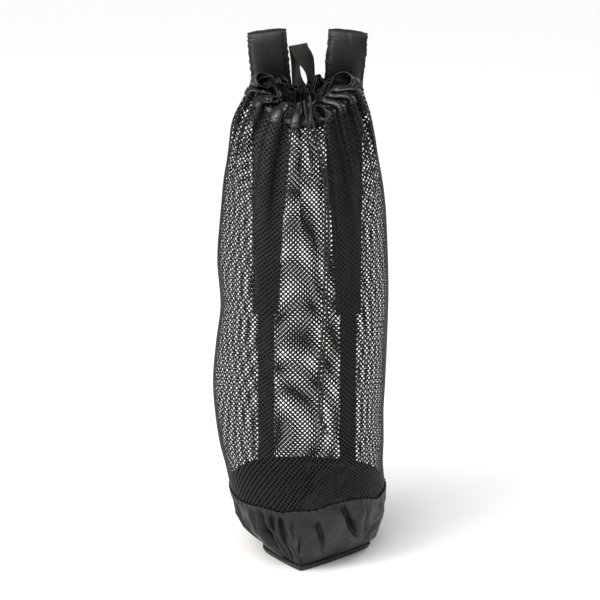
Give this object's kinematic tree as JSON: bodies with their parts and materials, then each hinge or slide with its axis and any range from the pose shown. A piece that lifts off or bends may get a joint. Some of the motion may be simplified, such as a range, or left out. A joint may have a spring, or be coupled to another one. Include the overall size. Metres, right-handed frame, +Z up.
{
  "type": "mesh dive gear bag",
  "caption": "Tall drawstring backpack of open net with a gathered nylon collar, a nylon base, padded shoulder straps and a grab loop, standing full.",
  "frame": {"origin": "on the floor, under the flat of the base panel, below the mouth", "axes": "+Z up from the base to the mouth, -Y is the front where the drawcord hangs, +X is right of the front, and the straps are on the +Y side"},
  "size_m": [0.26, 0.2667, 0.7754],
  "materials": {
    "net": "soft knitted polyester net, satin",
    "collar_nylon": "thin shiny coated nylon",
    "base_nylon": "matte coated nylon",
    "strap": "satin nylon over foam",
    "webbing": "matte woven webbing",
    "cord": "matte braided cord"
  },
  "bodies": {
    "root": {"mesh_sack": "net", "drawstring_collar": "collar_nylon", "base_band": "base_nylon", "base_panel": "base_nylon", "shoulder_strap_left": "strap", "shoulder_strap_right": "strap", "strap_webbing_left": "webbing", "strap_webbing_right": "webbing", "grab_loop": "webbing", "draw_cord_left": "cord", "draw_cord_right": "cord", "cord_knot": "cord"}
  },
  "joints": []
}
